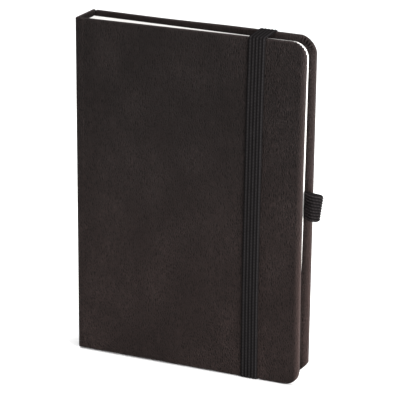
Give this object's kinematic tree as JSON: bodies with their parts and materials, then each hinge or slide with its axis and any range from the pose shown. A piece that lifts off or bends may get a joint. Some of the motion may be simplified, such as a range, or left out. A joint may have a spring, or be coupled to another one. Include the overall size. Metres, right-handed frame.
{
  "type": "pocket notebook",
  "caption": "Hardcover pocket notebook with rounded fore-edge corners, leaves that turn, an elastic closure band and an elastic pen loop on the back cover.",
  "frame": {"origin": "middle of the overall box on the surface it stands on", "axes": "+Z from tail to head, +X from spine to fore edge, +Y from front cover to back cover"},
  "size_m": [0.1026, 0.0158, 0.1432],
  "materials": {
    "leatherette": "dark brown-black imitation leather with a fine grain and a soft satin sheen",
    "elastic": "black ribbed woven elastic",
    "page_paper": "smooth uncoated off-white writing paper",
    "endpaper": "heavier uncoated off-white endpaper",
    "greyboard": "raw grey binder's board",
    "cloth": "open-weave cotton gauze and thread"
  },
  "bodies": {
    "book": {"back_cover_skin": "leatherette", "back_board": "greyboard", "back_pastedown": "endpaper", "back_flyleaf": "endpaper", "spine_skin": "leatherette", "spine_board": "greyboard", "spine_lining": "endpaper", "mull": "cloth", "section_02": "page_paper", "section_03": "page_paper", "section_04": "page_paper", "section_05": "page_paper", "section_06": "page_paper", "section_07": "page_paper", "section_08": "page_paper", "section_09": "page_paper", "section_10": "page_paper", "section_01_fold": "page_paper", "sewing_thread": "cloth", "band_anchor_head": "elastic", "band_anchor_tail": "elastic", "pen_loop_strap": "elastic"},
    "front_cover": {"front_cover_skin": "leatherette", "front_board": "greyboard", "front_pastedown": "endpaper", "front_mull": "cloth"},
    "front_flyleaf": {"front_flyleaf": "endpaper"},
    "leaf_1": {"leaf_1": "page_paper"},
    "leaf_2": {"leaf_2": "page_paper"},
    "leaf_3": {"leaf_3": "page_paper"},
    "leaf_4": {"leaf_4": "page_paper"},
    "leaf_5": {"leaf_5": "page_paper"},
    "leaf_6": {"leaf_6": "page_paper"},
    "leaf_7": {"leaf_7": "page_paper"},
    "leaf_8": {"leaf_8": "page_paper"},
    "band": {"band_front_strip": "elastic", "band_head_turn": "elastic", "band_tail_turn": "elastic"},
    "pen_loop": {"pen_loop": "elastic"}
  },
  "joints": [
    {"name": "front_cover_hinge", "type": "hinge", "parent": "book", "child": "front_cover", "pos_m": [-0.0513, -0.0079, 0.07], "axis": [0, 0, -1], "range_deg": [0, 178]},
    {"name": "front_flyleaf_turn", "type": "hinge", "parent": "book", "child": "front_flyleaf", "pos_m": [-0.04838, -0.00535, 0.07], "axis": [0, 0, -1], "range_deg": [0, 126]},
    {"name": "leaf_1_turn", "type": "hinge", "parent": "book", "child": "leaf_1", "pos_m": [-0.04839, -0.00523, 0.07], "axis": [0, 0, -1], "range_deg": [0, 114]},
    {"name": "leaf_2_turn", "type": "hinge", "parent": "book", "child": "leaf_2", "pos_m": [-0.04839, -0.00511, 0.07], "axis": [0, 0, -1], "range_deg": [0, 102]},
    {"name": "leaf_3_turn", "type": "hinge", "parent": "book", "child": "leaf_3", "pos_m": [-0.0484, -0.00499, 0.07], "axis": [0, 0, -1], "range_deg": [0, 88]},
    {"name": "leaf_4_turn", "type": "hinge", "parent": "book", "child": "leaf_4", "pos_m": [-0.0484, -0.00487, 0.07], "axis": [0, 0, -1], "range_deg": [0, 74]},
    {"name": "leaf_5_turn", "type": "hinge", "parent": "book", "child": "leaf_5", "pos_m": [-0.0484, -0.00475, 0.07], "axis": [0, 0, -1], "range_deg": [0, 60]},
    {"name": "leaf_6_turn", "type": "hinge", "parent": "book", "child": "leaf_6", "pos_m": [-0.04841, -0.00463, 0.07], "axis": [0, 0, -1], "range_deg": [0, 46]},
    {"name": "leaf_7_turn", "type": "hinge", "parent": "book", "child": "leaf_7", "pos_m": [-0.04841, -0.00451, 0.07], "axis": [0, 0, -1], "range_deg": [0, 32]},
    {"name": "leaf_8_turn", "type": "hinge", "parent": "book", "child": "leaf_8", "pos_m": [-0.04842, -0.00439, 0.07], "axis": [0, 0, -1], "range_deg": [0, 18]},
    {"name": "band_release", "type": "slide", "parent": "book", "child": "band", "axis": [0, 1, 0], "range_m": [0, 0.0133], "deforming": ["band_front_strip", "band_head_turn", "band_tail_turn"]},
    {"name": "pen_loop_flex", "type": "hinge", "parent": "book", "child": "pen_loop", "pos_m": [0.0484, 0.0038, 0.0746], "axis": [0, 0, 1], "range_deg": [-25, 25], "stiffness_Nm_per_rad": 0.0002}
  ],
  "couplings": [
    {"joint": "front_flyleaf_turn", "follows": "front_cover_hinge", "ratio": 0.70786},
    {"joint": "leaf_1_turn", "follows": "front_cover_hinge", "ratio": 0.64045},
    {"joint": "leaf_2_turn", "follows": "front_cover_hinge", "ratio": 0.57303},
    {"joint": "leaf_3_turn", "follows": "front_cover_hinge", "ratio": 0.49438},
    {"joint": "leaf_4_turn", "follows": "front_cover_hinge", "ratio": 0.41573},
    {"joint": "leaf_5_turn", "follows": "front_cover_hinge", "ratio": 0.33708},
    {"joint": "leaf_6_turn", "follows": "front_cover_hinge", "ratio": 0.25843},
    {"joint": "leaf_7_turn", "follows": "front_cover_hinge", "ratio": 0.17977},
    {"joint": "leaf_8_turn", "follows": "front_cover_hinge", "ratio": 0.10112},
    {"joint": "band_release", "follows": "front_cover_hinge", "m_per_rad": 0.0042811}
  ]
}
